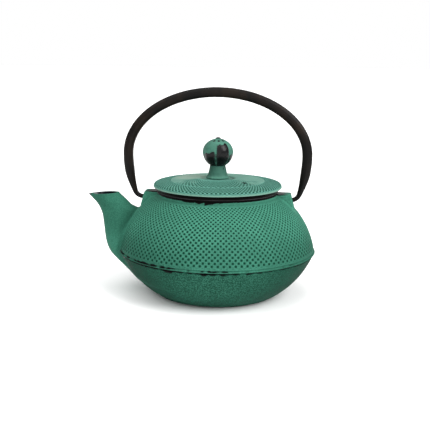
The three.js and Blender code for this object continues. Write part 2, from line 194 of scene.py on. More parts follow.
def soft_sun(name, toward, angle, strength):
    """A wide distant lamp whose light arrives from the direction given."""
    data = bpy.data.lights.new(name, "SUN")
    data.angle = math.radians(angle)
    data.energy = strength
    lamp = bpy.data.objects.new(name, data)
    lamp.rotation_euler = Vector(toward).to_track_quat("Z", "Y").to_euler()
    bpy.context.scene.collection.objects.link(lamp)


def make_studio():
    """A white band behind the object, dimmer surroundings and three wide soft lamps."""
    world = bpy.data.worlds.new("studio")
    world.use_nodes = True
    tree = world.node_tree
    background = tree.nodes["Background"]
    place = tree.nodes.new("ShaderNodeTexCoord")
    split = tree.nodes.new("ShaderNodeSeparateXYZ")
    height, behind = (tree.nodes.new("ShaderNodeMapRange") for _ in range(2))
    for node, low, high in ((height, 0.2, 0.6), (behind, 0.45, 0.85)):
        node.interpolation_type = "SMOOTHSTEP"
        node.inputs["From Min"].default_value = low
        node.inputs["From Max"].default_value = high
    height.inputs["To Max"].default_value = 0.3
    behind.inputs["To Min"].default_value = 0.4
    tree.links.new(place.outputs["Generated"], split.inputs[0])
    tree.links.new(split.outputs["Z"], height.inputs["Value"])
    tree.links.new(split.outputs["Y"], behind.inputs["Value"])
    tree.links.new(behind.outputs["Result"], height.inputs["To Min"])
    tree.links.new(height.outputs["Result"], background.inputs["Strength"])
    background.inputs["Color"].default_value = (1.0, 1.0, 1.0, 1.0)
    bpy.context.scene.world = world
    bpy.context.scene.view_settings.view_transform = "Standard"
    soft_sun("key", (0.75, -0.35, 0.7), 44.0, 3.4)
    soft_sun("top", (-0.35, -0.1, 1.0), 80.0, 2.7)
    soft_sun("fill", (0.0, -1.0, 0.35), 60.0, 0.9)


def make_floor(material):
    size = 6.0
    data = bpy.data.meshes.new("floor")
    corners = [(-size, -size, 0), (size, -size, 0), (size, size, 0), (-size, size, 0)]
    data.from_pydata(corners, [], [(0, 1, 2, 3)])
    floor = bpy.data.objects.new("floor", data)
    bpy.context.scene.collection.objects.link(floor)
    data.materials.append(material)


# ---- Mesh helpers ----

def smoothstep(x, low, high):
    t = np.clip((x - low) / (high - low), 0.0, 1.0)
    return t * t * (3.0 - 2.0 * t)


def arc(centre_r, centre_z, radius, start, end, steps, rise=None):
    """Points of an arc in the radius-height plane, between two angles in radians."""
    angles = np.linspace(start, end, steps + 1)
    rise = radius if rise is None else rise
    return [(centre_r + radius * math.cos(a), centre_z + rise * math.sin(a)) for a in angles]


def pot_arc(curve, inset, start, end, steps):
    """One of the pot's arcs, moved inwards by inset."""
    return arc(curve[0], curve[1], curve[2] - inset, start, end, steps, curve[3] - inset)


def angle_at(curve, z, inset=0.0):
    return math.asin((z - curve[1]) / (curve[3] - inset))


def turns(count):
    """Evenly spread angles round the axis."""
    return np.arange(count) * 2 * math.pi / count


def radius_of(points):
    return np.hypot(points[:, 0], points[:, 1])


def turn_of(points):
    return np.arctan2(points[:, 1], points[:, 0])


def link_rows(a, n, b, m):
    """Faces between a row of n points starting at index a and one of m points starting at b."""
    if n == 1:
        return [(a, b + (i + 1) % m, b + i) for i in range(m)]
    if m == 1:
        return [(a + i, a + (i + 1) % n, b) for i in range(n)]
    if n == m:
        return [(a + i, a + (i + 1) % n, b + (i + 1) % n, b + i) for i in range(n)]
    flip = n > m
    (near, few), (far, many) = ((b, m), (a, n)) if flip else ((a, n), (b, m))
    step = many // few
    half = (step + 1) // 2
    faces = []
    for i in range(few):
        left, right = near + i, near + (i + 1) % few
        fine = [far + (i * step + k) % many for k in range(step + 1)]
        faces.append((right, left, fine[half]) if flip else (left, right, fine[half]))
        for k in range(step):
            edge = (fine[k], fine[k + 1]) if flip else (fine[k + 1], fine[k])
            faces.append((left if k < half else right, *edge))
    return faces


def lathe(rows):
    """A solid of revolution through (radius, height, columns) rows, from axis to axis."""
    points, faces, starts = [], [], []
    for r, z, columns in rows:
        count = 1 if r == 0 else columns
        starts.append((len(points), count))
        turn = turns(count)
        points += list(zip(r * np.cos(turn), r * np.sin(turn), np.full(count, float(z))))
    for (a, n), (b, m) in zip(starts, starts[1:]):
        faces += link_rows(a, n, b, m)
    return np.array(points), faces


def lathe_ring(outline, columns):
    """A ring whose outline closes on itself; its points run anticlockwise."""
    count = len(outline)
    turn = turns(columns)
    points = np.concatenate([
        np.stack([r * np.cos(turn), r * np.sin(turn), np.full(columns, float(z))], 1)
        for r, z in outline])
    faces = []
    for j in range(count):
        faces += link_rows(j * columns, columns, ((j + 1) % count) * columns, columns)
    return points, faces


def loft(rings):
    """A closed skin through rings of equal length, capped at both ends."""
    count = len(rings[0])
    points = np.concatenate(rings)
    faces = []
    for j in range(len(rings) - 1):
        faces += link_rows(j * count, count, (j + 1) * count, count)
    faces.append(tuple(range(count - 1, -1, -1)))
    last = (len(rings) - 1) * count
    faces.append(tuple(range(last, last + count)))
    return points, faces


def make_object(name, points, faces):
    """A mesh object from points in millimetres."""
    data = bpy.data.meshes.new(name)
    data.from_pydata((np.asarray(points) * MM).tolist(), [], faces)
    made = bpy.data.objects.new(name, data)
    bpy.context.scene.collection.objects.link(made)
    return made


def combine(target, tool, operation):
    """Joins or cuts target with tool, then removes the tool."""
    modifier = target.modifiers.new("combine", "BOOLEAN")
    modifier.operation = operation
    modifier.solver = "MANIFOLD"
    modifier.object = tool
    graph = bpy.context.evaluated_depsgraph_get()
    mesh = bpy.data.meshes.new_from_object(target.evaluated_get(graph), depsgraph=graph)
    target.modifiers.clear()
    target.data = mesh
    bpy.data.objects.remove(tool)


def points_of(piece):
    found = np.empty(len(piece.data.vertices) * 3)
    piece.data.vertices.foreach_get("co", found)
    return found.reshape(-1, 3) / MM


def set_points(piece, points):
    piece.data.vertices.foreach_set("co", (points * MM).ravel())
    piece.data.update()


def store(piece, name, values):
    """Writes one number for each point, for the materials to read."""
    layer = piece.data.attributes.new(name, "FLOAT", "POINT")
    layer.data.foreach_set("value", np.asarray(values, np.float32))


def finish_piece(piece, body, nodes, materials):
    """Smooth shading with sharp creases, materials, and the CAD nodes it stands for."""
    piece.data.materials.clear()
    for material in materials:
        piece.data.materials.append(material)
    piece.data.polygons.foreach_set("use_smooth", [True] * len(piece.data.polygons))
    piece.data.set_sharp_from_angle(angle=CREASE)
    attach(piece, body)
    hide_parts(*nodes)


def wave_noise(points, scale, seed):
    """Smooth noise between about -1 and 1, as a sum of waves in fixed directions."""
    draw = np.random.default_rng(seed)
    total = np.zeros(len(points))
    for octave in range(3):
        for _ in range(6):
            heading = draw.normal(size=3)
            heading *= 2 * math.pi / scale * 1.9 ** octave / np.linalg.norm(heading)
            total += np.sin(points @ heading + draw.uniform(0, 2 * math.pi)) * 0.62 ** octave
    return total / 4.0


# ---- Distances to the cast shapes ----

def pot_distance(points):
    """Distance outside the pot's two-arc skin."""
    r = radius_of(points)
    z = points[:, 2]
    low = np.hypot(r - LOWER_ARC[0], z - LOWER_ARC[1]) - LOWER_ARC[2]
    across, up = (r - UPPER_ARC[0]) / UPPER_ARC[2], (z - UPPER_ARC[1]) / UPPER_ARC[3]
    reach = np.maximum(np.hypot(across, up), 0.1)
    slope = np.hypot(across / UPPER_ARC[2], up / UPPER_ARC[3]) / reach
    return np.where(z < RIB_Z, low, (reach - 1.0) / np.maximum(slope, 1e-6))


def slice_at(z, shrink=0.0):
    """Outer edge, inner edge, half width and pinch of the spout at heights z."""
    table = SPOUT_SLICES
    outer, inner, half = (smooth_interp(z, table[:, 0], table[:, k]) for k in (1, 2, 3))
    return outer, inner, half - shrink, smoothstep(z, 57.5, 69.5) * 0.45


def smooth_interp(x, known_x, known_y):
    """Cubic interpolation with the slopes of a monotone curve, so it never overshoots."""
    step = np.diff(known_x)
    slope = np.diff(known_y) / step
    tangent = np.empty(len(known_x))
    tangent[0], tangent[-1] = slope[0], slope[-1]
    same = slope[:-1] * slope[1:] > 0
    mean = np.zeros(len(slope) - 1)
    mean[same] = 2 * slope[:-1][same] * slope[1:][same] / (slope[:-1][same] + slope[1:][same])
    tangent[1:-1] = mean
    k = np.clip(np.searchsorted(known_x, x) - 1, 0, len(step) - 1)
    t = np.clip((x - known_x[k]) / step[k], 0.0, 1.0)
    return ((1 + 2 * t) * (1 - t) ** 2 * known_y[k] + t * (1 - t) ** 2 * step[k] * tangent[k]
            + t * t * (3 - 2 * t) * known_y[k + 1] + t * t * (t - 1) * step[k] * tangent[k + 1])


def spout_field(points):
    """Zero on the spout's skin, below zero inside, in shares of its own width."""
    outer, inner, half, pinch = slice_at(points[:, 2])
    along = (points[:, 0] - (outer + inner) / 2) / ((inner - outer) / 2)
    narrow = 1 - pinch * np.clip(-along, 0.0, 1.0) ** PINCH_POWER
    return np.hypot(along, points[:, 1] / (half * narrow)) - 1.0


def spout_distance(points):
    value = spout_field(points)
    slope = gradient(spout_field, points)
    distance = value / np.maximum(np.linalg.norm(slope, axis=1), 1e-6)
    beyond = np.maximum(SPOUT_SLICES[0, 0] - points[:, 2], 0.0)
    return np.hypot(np.maximum(distance, 0.0), beyond) + np.minimum(distance, 0.0)


def lug_distance(points):
    """Distance outside the nearer lug, as the furthest of its faces."""
    x, y, z = np.abs(points[:, 0]), np.abs(points[:, 1]), points[:, 2]
    lean = np.array([LUG_TOP - LUG_FOOT_Z, LUG_OUTER_FOOT - LUG_OUTER_TOP])
    lean /= np.linalg.norm(lean)
    face = (x - LUG_OUTER_TOP) * lean[0] + (z - LUG_TOP) * lean[1]
    sides = np.stack([face, y - LUG_HALF_WIDTH, z - LUG_TOP, LUG_FOOT_Z - z, LUG_ROOT_X - x])
    outside = np.sqrt((np.maximum(sides, 0.0) ** 2).sum(0))
    return np.where(sides.max(0) > 0, outside, sides.max(0))


def gradient(field, points, step=0.02):
    slopes = []
    for axis in range(3):
        offset = np.zeros(3)
        offset[axis] = step
        slopes.append((field(points + offset) - field(points - offset)) / (2 * step))
    return np.stack(slopes, 1)


def blend_surfaces(points, first, second, width_at):
    """Moves points near the seam of two joined shapes onto a fillet between them."""
    def joined(p):
        a, b, width = first(p), second(p), width_at(p)
        share = np.maximum(width - np.abs(a - b), 0.0) / width
        return np.minimum(a, b) - share ** 2 * width / 4
    width = width_at(points)
    near = (np.abs(first(points)) < width) & (np.abs(second(points)) < width)
    moved = points[near]
    for _ in range(4):
        slope = gradient(joined, moved)
        size = np.maximum((slope ** 2).sum(1), 0.05)
        step = -(joined(moved) / size)[:, None] * slope
        limit = width_at(moved)[:, None] / 4
        moved = moved + np.clip(step, -limit, limit)
    result = points.copy()
    result[near] = moved
    return result


# ---- Dot pattern ----

# Along a profile, the phase grows by arc length over radius, so dots keep their
# proportions while the rows shrink with the radius.
SHOULDER_ANGLES = np.linspace(-0.3, 1.3, 2001)
SHOULDER_LINE = np.array(pot_arc(UPPER_ARC, 0.0, -0.3, 1.3, 2000))
SHOULDER_STEPS = np.linalg.norm(np.diff(SHOULDER_LINE, axis=0), axis=1)
SHOULDER_PHASE = DOTS * np.concatenate([[0.0], np.cumsum(
    SHOULDER_STEPS * 2 / (SHOULDER_LINE[1:, 0] + SHOULDER_LINE[:-1, 0]))])
SHOULDER_PHASE -= np.interp(angle_at(UPPER_ARC, DOT_START_Z), SHOULDER_ANGLES, SHOULDER_PHASE)
DOT_ROWS = round(float(np.interp(angle_at(UPPER_ARC, DOT_END_Z), SHOULDER_ANGLES,
                                 SHOULDER_PHASE)) / math.pi)


def dot_height(turn, phase, count):
    """Height of the dotted skin from -1 in a pit to 1 on a bump."""
    wave = np.cos(count * turn) * np.cos(phase)
    return 1.0 - 2.0 * ((1.0 - wave) / 2.0) ** 1.6


# ---- Pot body ----

def pot_outer_rows():
    coarse, dotted = 2 * DOTS, 6 * DOTS
    foot = LOWER_ARC[0] + math.sqrt(LOWER_ARC[2] ** 2 - LOWER_ARC[1] ** 2)
    rows = [(0, 0, coarse), (foot - 12, 0, coarse), (foot - 1.6, 0, coarse), (foot - 0.9, 0.12, coarse),
            (foot - 0.3, 0.45, coarse)]
    rows += [(r, z, coarse) for r, z in pot_arc(LOWER_ARC, 0.0, angle_at(LOWER_ARC, 1.0),
                                                angle_at(LOWER_ARC, RIB_Z - 1.95), 26)]
    for z in np.arange(RIB_Z - 1.8, RIB_Z + 1.81, 0.15):
        curve = LOWER_ARC if z < RIB_Z else UPPER_ARC
        skin = curve[0] + curve[2] * math.cos(angle_at(curve, z))
        away = abs(z - RIB_Z)
        ridge = (RIB_RADIUS - RIB_SKIN_RADIUS) * max(0.0, 1 - (away / 0.65) ** 2)
        groove = 0.5 * math.exp(-((away - 0.95) / 0.3) ** 2)
        rows.append((skin + ridge - groove, z, coarse))
    for row in range(3 * DOT_ROWS + 1):
        a = float(np.interp(row * math.pi / 3, SHOULDER_PHASE, SHOULDER_ANGLES))
        rows.append((UPPER_ARC[0] + UPPER_ARC[2] * math.cos(a),
                     UPPER_ARC[1] + UPPER_ARC[3] * math.sin(a), dotted))
    top = math.acos((COLLAR_RADIUS - UPPER_ARC[0]) / UPPER_ARC[2])
    start = float(np.interp((DOT_ROWS + 0.6) * math.pi, SHOULDER_PHASE, SHOULDER_ANGLES))
    rows += [(r, z, coarse) for r, z in pot_arc(UPPER_ARC, 0.0, start, top - 0.012, 2)]
    base = UPPER_ARC[1] + UPPER_ARC[3] * math.sin(top)
    collar = [(0.15, base + 0.25), (-0.05, base + 0.6), (-0.1, base + 1.3), (-0.5, base + 1.55),
              (-0.55, COLLAR_LINE_Z - 0.45), (-0.15, COLLAR_LINE_Z - 0.2), (0.0, COLLAR_LINE_Z),
              (0.0, COLLAR_LINE_Z + 0.25), (0.0, COLLAR_TOP - 1.0), (-0.25, COLLAR_TOP - 0.3),
              (-0.8, COLLAR_TOP)]
    rows += [(COLLAR_RADIUS + out, z, coarse) for out, z in collar]
    return rows + [(0, COLLAR_TOP, coarse)]


def pot_hollow_rows():
    columns = 144
    neck = math.acos((MOUTH_RADIUS - UPPER_ARC[0]) / (UPPER_ARC[2] - WALL))
    lower = pot_arc(LOWER_ARC, WALL, angle_at(LOWER_ARC, FLOOR + 1.2, WALL),
                    angle_at(LOWER_ARC, RIB_Z, WALL), 14)
    upper = pot_arc(UPPER_ARC, WALL, angle_at(UPPER_ARC, RIB_Z, WALL), neck, 18)
    outline = [(0, FLOOR), (lower[0][0] - 3.4, FLOOR), (lower[0][0] - 1.2, FLOOR + 0.4), *lower,
               *upper[1:], (MOUTH_RADIUS, LEDGE_Z - 0.4), (MOUTH_RADIUS + 0.4, LEDGE_Z),
               (REBATE_RADIUS, LEDGE_Z), (REBATE_RADIUS, COLLAR_TOP - 0.4),
               (REBATE_RADIUS + 0.35, COLLAR_TOP + 0.01), (REBATE_RADIUS + 0.35, COLLAR_TOP + 5),
               (0, COLLAR_TOP + 5)]
    return [(r, z, columns) for r, z in outline]


def spout_rings(heights, count, wall):
    rings = []
    walls = wall * (1 - 0.45 * smoothstep(heights, 61.0, 68.0))      # thinner towards the lip
    outer, inner, half, pinch = slice_at(heights, walls)
    turn = turns(count)
    for z, left, right, wide, squeeze, thin in zip(heights, outer, inner, half, pinch, walls):
        left = left + thin
        right = right - (thin if z > 60.0 else 0.0)
        along = np.cos(turn)
        narrow = 1 - squeeze * np.clip(-along, 0.0, 1.0) ** PINCH_POWER
        rings.append(np.stack([(left + right) / 2 + (right - left) / 2 * along,
                               wide * narrow * np.sin(turn), np.full(count, float(z))], 1))
    return rings


def mouth_cutter():
    """A block whose underside is the slanted plane of the spout's mouth."""
    x, z, slope = MOUTH_CUT
    block = [(-30.0, -20.0), (30.0, -20.0), (30.0, 20.0), (-30.0, 20.0)]
    low = [(x + u, v, z + slope * u) for u, v in block]
    high = [(a, b, c + 20.0) for a, b, c in low]
    return make_object("mouth_cutter", *loft([np.array(low), np.array(high)]))


def rod_along_x(radius, start, end, z, columns=32):
    turn = turns(columns)
    rings = [np.stack([np.full(columns, float(x)), radius * np.cos(turn), z + radius * np.sin(turn)], 1)
             for x in (min(start, end), max(start, end))]
    return make_object("rod", *loft(rings))


def lug_block(side):
    """One lug: a block with a leaning outer face and rounded edges."""
    cut = 1.1
    outline = [(LUG_ROOT_X, LUG_FOOT_Z), (LUG_OUTER_FOOT, LUG_FOOT_Z)]
    for a in np.linspace(0.0, math.pi / 2, 6):
        outline.append((LUG_OUTER_TOP - cut + cut * math.cos(a), LUG_TOP - cut + cut * math.sin(a)))
    outline.append((LUG_ROOT_X, LUG_TOP))
    outline = np.array(outline)
    middle = np.array([LUG_ROOT_X - 20.0, LUG_FOOT_Z - 20.0])
    rings = []
    for a in np.linspace(0.0, math.pi, 11):
        inset = cut * (1 - math.sin(a))
        y = (LUG_HALF_WIDTH - cut) * (1 if a < math.pi / 2 else -1) + cut * math.cos(a)
        reach = np.linalg.norm(outline - middle, axis=1, keepdims=True)
        ring = outline - (outline - middle) / reach * inset
        rings.append(np.stack([ring[:, 0] * side, np.full(len(ring), y * side), ring[:, 1]], 1))
    return make_object("lug", *loft(rings))


def lug_face():
    share = (PIN_Z - LUG_FOOT_Z) / (LUG_TOP - LUG_FOOT_Z)
    return LUG_OUTER_FOOT + (LUG_OUTER_TOP - LUG_OUTER_FOOT) * share


def shoulder_angle(points):
    r = radius_of(points)
    return np.arctan2((points[:, 2] - UPPER_ARC[1]) / UPPER_ARC[3], (r - UPPER_ARC[0]) / UPPER_ARC[2])


def dotted_mask(points):
    """Where the shoulder has dots, away from the spout, lugs and band edges, and their phase."""
    z = points[:, 2]
    phase = np.interp(shoulder_angle(points), SHOULDER_ANGLES, SHOULDER_PHASE)
    end = DOT_ROWS * math.pi
    mask = smoothstep(phase, 0.0, 2.2) * (1 - smoothstep(phase, end - 2.6, end))
    start = 3.4 - 2.6 * smoothstep(z, 40.0, 58.0)
    mask *= smoothstep(spout_distance(points) - start, 0.0, 2.6)
    mask *= smoothstep(lug_distance(points), 2.0, 5.0)
    on_skin = (np.abs(pot_distance(points)) < 0.6) & (z > RIB_Z)
    return np.where(on_skin, mask, 0.0), phase


def make_pot():
    pot = make_object("teapot_body", *lathe(pot_outer_rows()))
    heights = np.linspace(SPOUT_SLICES[0, 0], SPOUT_SLICES[-1, 0], 76)
    spout = make_object("spout", *loft(spout_rings(heights, 112, 0.0)))
    combine(spout, mouth_cutter(), "DIFFERENCE")
    combine(pot, spout, "UNION")
    for side in (-1, 1):
        combine(pot, lug_block(side), "UNION")
    points = points_of(pot)
    points = blend_surfaces(points, pot_distance, spout_distance,
                            lambda p: 6.5 - 4.7 * smoothstep(p[:, 2], 36.0, 56.0))
    points = blend_surfaces(points, pot_distance, lug_distance, lambda p: np.full(len(p), 2.0))
    set_points(pot, points)
    combine(pot, make_object("hollow", *lathe(pot_hollow_rows())), "DIFFERENCE")
    heights = np.linspace(CHANNEL_FLOOR_Z, SPOUT_SLICES[-1, 0] + 2.0, 52)
    channel = make_object("channel", *loft(spout_rings(heights, 72, SPOUT_WALL)))
    plain = [(r, z, 240) for r, z, _ in pot_outer_rows()[::3] if r > 0]
    core = make_object("core", *lathe([(0, -1.0, 240), *plain, (0, COLLAR_TOP, 240)]))
    combine(channel, core, "DIFFERENCE")
    combine(pot, channel, "DIFFERENCE")
    combine(pot, rod_along_x(SPOUT_HOLE[0], -73.0, -58.0, SPOUT_HOLE[1], 48), "DIFFERENCE")
    for side in (-1, 1):
        hole = rod_along_x(HOLE_RADIUS, side * (lug_face() - HOLE_DEPTH), side * (lug_face() + 5), PIN_Z)
        combine(pot, hole, "DIFFERENCE")
    points = points_of(pot)
    z = points[:, 2]
    mask, phase = dotted_mask(points)
    turn = turn_of(points)
    tilt = shoulder_angle(points)
    lean = np.arctan2(np.sin(tilt) * UPPER_ARC[2], np.cos(tilt) * UPPER_ARC[3])
    outward = np.stack([np.cos(lean) * np.cos(turn), np.cos(lean) * np.sin(turn), np.sin(lean)], 1)
    lift = 0.24 * mask * (dot_height(turn, phase, DOTS) - 0.45)
    set_points(pot, points + outward * lift[:, None])
    store(pot, "dots", mask)
    store(pot, "dot_count", np.full(len(points), DOTS))
    store(pot, "dot_phase", phase)
    store(pot, "wear", pot_wear(points))
    r = radius_of(points)
    # painted highlight: a thin grey line along the step round the black collar
    line = (np.abs(z - COLLAR_LINE_Z) < 0.12) * (np.abs(r - COLLAR_RADIUS) < 1.0)
    store(pot, "painted_highlight", line * (0.7 + 0.3 * wave_noise(points, 15.0, 12)))
    away = spout_distance(points)
    below = (z < RIB_Z) * (away > 1.0)
    store(pot, "low", below * smoothstep(away, 1.0, 8.0))
    # the pot's painted shade: darker below the rib, at the sides, on the spout, in its seam and under
    # the collar
    store(pot, "painted_shade", pot_painted_shade(points, below))
    return pot


def pot_painted_shade(points, below):
    """How much painted shade darkens the patina: below the rib, towards the sides, on the spout, in its
    seam and under the collar.
    """
    z = points[:, 2]
    near = spout_distance(points)
    turn = turn_of(points) + FRONT_TURN
    # painted shade: the sides darker than the front and the back
    side = np.abs(np.sin(turn)) ** 1.5 * np.where(np.sin(turn) < 0, 1.05, 1.0)
    belly = (0.19 + 0.38 * side) * (1 - smoothstep(z, RIB_Z + 2.0, 58.0))
    away = smoothstep(near, 1.0, 18.0)
    foot = 0.36 + (0.26 + 0.34 * smoothstep(z, 4.0, 14.0)) * side * (0.2 + 0.8 * away)
    spout = 1 - smoothstep(near, 0.0, 1.6)
    painted_shade = belly * (1 - below) + foot * below
    # painted shade in the crease where the spout meets the body, and in a band under the collar's
    # overhang
    seam = np.exp(-(pot_distance(points) / 6.0) ** 2 - (near / 1.2) ** 2)
    seam *= smoothstep(z, 36.0, 46.0) * (1 - smoothstep(z, 56.0, 64.0))
    r = radius_of(points)
    collar = np.exp(-((z - 71.3) / 1.0) ** 2) * (r < COLLAR_RADIUS + 4.0)
    painted_shade = painted_shade + (0.2 + 0.2 * smoothstep(z, 34.0, 50.0) - painted_shade) * spout
    return np.clip(painted_shade + 0.3 * seam + 0.3 * collar, 0.0, 1.0)


def pot_wear(points):
    """How far the green is rubbed or burnt off to black, from 0 to 1."""
    z = points[:, 2]
    r = radius_of(points)
    noise = wave_noise(points, 22.0, 3)
    fine = wave_noise(points, 7.0, 4)
    turn = turn_of(points)
    smudge = np.exp(-((turn + SMUDGE_TURN) / 0.24) ** 2)
    ragged = z + 0.25 * noise + 0.9 * smudge * (1 + fine)
    collar = smoothstep(ragged, COLLAR_BLACK_Z, COLLAR_BLACK_Z + 0.5) * smoothstep(r, 30.0, 40.0)
    collar = np.where(r > COLLAR_RADIUS + 1.7, 0.0, collar)
    lip = smoothstep(-points[:, 0] + 0.4 * noise, LIP_BLACK_X, 93.0)
    front_left = 0.5 + 0.5 * np.cos(turn + RIB_WEAR_TURN)
    reach = 1.0 + (0.5 + 0.8 * front_left) * smoothstep(fine + noise * 0.5, -0.3, 0.8)
    rib = np.exp(-((z - RIB_Z + 0.4) / reach) ** 2) * smoothstep(spout_distance(points), 1.5, 5.0)
    rib *= smoothstep(fine + 1.2 * front_left, -0.1, 0.8) * (0.6 + 0.8 * front_left ** 2)
    bead = np.exp(-((z - RIB_Z) / 0.4) ** 2)
    rib *= 1.0 - 0.8 * bead
    edge = 0.75 * np.exp(-((lug_distance(points) + 0.2) / 0.9) ** 2) * smoothstep(noise, 0.0, 0.7)
    return np.clip(collar + lip + edge + rib, 0.0, 1.0)


# ---- Lid and knob ----

def lid_dome(r):
    return LID_CROWN_Z - (LID_CROWN_Z - LID_RIM_TOP) * (r / ROUND_START) ** 2


def lid_top(r):
    """The dome's skin, with a disc that stands up a little from the dotted ring."""
    return lid_dome(r) - 0.3 * smoothstep(r, DISC_RADIUS - 0.2, DISC_RADIUS + 0.7)


def knob_seat():
    return lid_dome(KNOB_SEAT_RADIUS) - 0.5


# The lid's upper skin from the bead at its edge to the knob, with the dots' phase along it.
LID_LINE = np.array(arc(ROUND_START - 0.25, LID_SEAT_Z + RIM_FOOT + 0.8, RIM_ROUND, 0.0,
                        math.pi / 2, 60, LID_RIM_TOP - LID_SEAT_Z - RIM_FOOT - 1.1)
                    + [(r, float(lid_top(r))) for r in np.arange(ROUND_START - 1.2, 13.4, -0.05)])
LID_COUNT = np.where(LID_LINE[:, 0] > DISC_RADIUS, LID_DOTS, DISC_DOTS)
LID_PHASE = np.concatenate([[0.0], np.cumsum(
    LID_COUNT[1:] * np.linalg.norm(np.diff(LID_LINE, axis=0), axis=1)
    * 2 / (LID_LINE[1:, 0] + LID_LINE[:-1, 0]))])


def lid_rows():
    coarse, dotted = 2 * LID_DOTS, 6 * LID_DOTS
    edge, foot = LID_RADIUS, LID_SEAT_Z
    skirt = (SKIRT_OUTER - SKIRT_INNER) / 2
    under = [(0, LID_CEILING_Z), (12, LID_CEILING_Z), (SKIRT_INNER - 6, LID_CEILING_Z - 0.1)]
    under += arc(SKIRT_INNER - 3.2, LID_CEILING_Z - 3.3, 3.2, math.pi / 2, 0.0, 6)
    under += arc((SKIRT_OUTER + SKIRT_INNER) / 2, SKIRT_FOOT_Z + skirt, skirt, -math.pi, 0.0, 12)
    under += [(SKIRT_OUTER, foot - 0.8), (SKIRT_OUTER + 0.25, foot - 0.2), (SKIRT_OUTER + 0.8, foot)]
    bead = arc(edge - RIM_FOOT, foot + RIM_FOOT, RIM_FOOT, -math.pi / 2, math.pi / 2 - 0.2, 10)
    rows = [(r, z, coarse) for r, z in under + bead + [(edge - 0.42, foot + RIM_FOOT + 0.55)]]
    for phase in np.arange(0.0, LID_PHASE[-1], math.pi / 3):
        r = float(np.interp(phase, LID_PHASE, LID_LINE[:, 0]))
        rows.append((r, float(np.interp(phase, LID_PHASE, LID_LINE[:, 1])), dotted))
    for r, drop in ((13.0, 0.0), (12.6, 0.1), (12.1, 0.4), (11.2, 0.6), (9.8, 0.6), (9.0, 0.6)):
        rows.append((r, float(lid_top(r)) - drop, coarse))
    seat = knob_seat()
    rows += [(KNOB_SEAT_RADIUS + 0.1, seat, coarse), (0, seat, coarse)]
    return rows


def lid_phase(points):
    """Phase of the dots by height on the steep rim and by radius on the dome."""
    r = radius_of(points)
    on_rim = LID_LINE[:, 0] > ROUND_START - 0.3
    by_height = np.interp(points[:, 2], LID_LINE[on_rim, 1], LID_PHASE[on_rim])
    by_radius = np.interp(-r, -LID_LINE[:, 0], LID_PHASE)
    steep = smoothstep(r, LID_RADIUS - 1.4, LID_RADIUS - 0.9)
    return by_radius + (by_height - by_radius) * steep


def make_lid():
    lid = make_object("teapot_lid", *lathe(lid_rows()))
    turn = turns(24)
    ring = np.stack([VENT[0] + VENT[2] * np.cos(turn), VENT[1] + VENT[2] * np.sin(turn),
                     np.zeros(24)], 1)
    vent = make_object("vent", *loft([ring + (0, 0, 70.0), ring + (0, 0, 90.0)]))
    combine(lid, vent, "DIFFERENCE")
    points = points_of(lid)
    x, y, z = points.T
    r = radius_of(points)
    on_rim = (r > ROUND_START) & (z > LID_SEAT_Z + RIM_FOOT + 0.85)
    on_top = (z > LID_CEILING_Z + 0.1) | on_rim
    around = turn_of(points)
    phase = lid_phase(points)
    front = 0.5 + 0.5 * np.cos(around + FRONT_TURN)
    outer = smoothstep(phase, 0.3, 1.6) * smoothstep(r, DISC_RADIUS - 0.1, DISC_RADIUS + 0.7)
    inner = smoothstep(r, 13.5, 17.0) * (1 - smoothstep(r, DISC_RADIUS - 0.7, DISC_RADIUS + 0.1))
    # a patch at the disc's left, paler and with fainter dots
    off_left_patch = smoothstep(np.hypot(x + 20.0, (y - 6.0) * 0.9), 7.0, 15.0)
    noise = wave_noise(points, 12.0, 9)
    kept = smoothstep(front + 0.12 * noise, 0.5, 0.9)
    mask = np.where(on_top, outer + inner * kept * (0.2 + 0.8 * off_left_patch), 0.0)
    count = np.where(r > DISC_RADIUS, LID_DOTS, DISC_DOTS)
    lift = 0.2 * mask * (dot_height(around, phase, count) - 0.5)
    slope = np.where(r > ROUND_START, smoothstep(r, ROUND_START, LID_RADIUS), 0.0)
    points[:, 2] += lift * (1 - 0.7 * slope)
    inwards = np.minimum(lift, 0.0) * slope / np.maximum(r, 1.0)
    points[:, :2] *= 1 + inwards[:, None]
    set_points(lid, points)
    groove = np.exp(-((r - LID_GROOVE[0]) / LID_GROOVE[1]) ** 2) * on_top
    # the bead along the lid's lower edge, which gets a painted highlight
    bead = (z < LID_SEAT_Z + RIM_FOOT + 0.7) * (r > LID_RADIUS - 1.0)
    store(lid, "dots", np.clip(mask, 0.0, 1.0))
    store(lid, "dot_count", count)
    store(lid, "dot_phase", phase)
    vent_hole = np.hypot(x - VENT[0], y - VENT[1]) < VENT[2] + 0.1
    store(lid, "wear", np.maximum(0.5 * groove * smoothstep(front + 0.3 * noise, 0.6, 1.0), vent_hole))
    disc = np.where(on_top & (r < DISC_RADIUS), 0.25 * (1 - kept) + 0.75 * (1 - off_left_patch), 0.0)
    # paler on the disc away from its front and in a patch at its left; on the bead, a painted highlight
    # line
    store(lid, "pale_and_highlight", np.clip(disc + 0.45 * bead, 0.0, 1.0))
    # the dark ring round the knob's foot: dark paint left in the groove, with painted shade over it
    store(lid, "painted_shade", 0.85 * groove)
    store(lid, "low", np.zeros(len(r)))
    return lid


def panel_share(turn):
    """Position across one panel of the ball, 0 and 1 in the grooves at its sides."""
    return (turn * PANELS / (2 * math.pi) + GROOVE_TURN) % 1.0


def knob_radius(turn, height):
    """How the ball's panels and grooves shape its radius, as a factor."""
    across = panel_share(turn)
    from_groove = np.minimum(across, 1 - across)
    panel = 0.016 * np.cos(2 * math.pi * (across - 0.5)) - 0.008
    groove = 0.035 * np.exp(-(from_groove / 0.04) ** 2)
    fade = 1 - smoothstep(np.abs(height), 0.86, 1.0)
    return 1 + (panel - groove) * fade


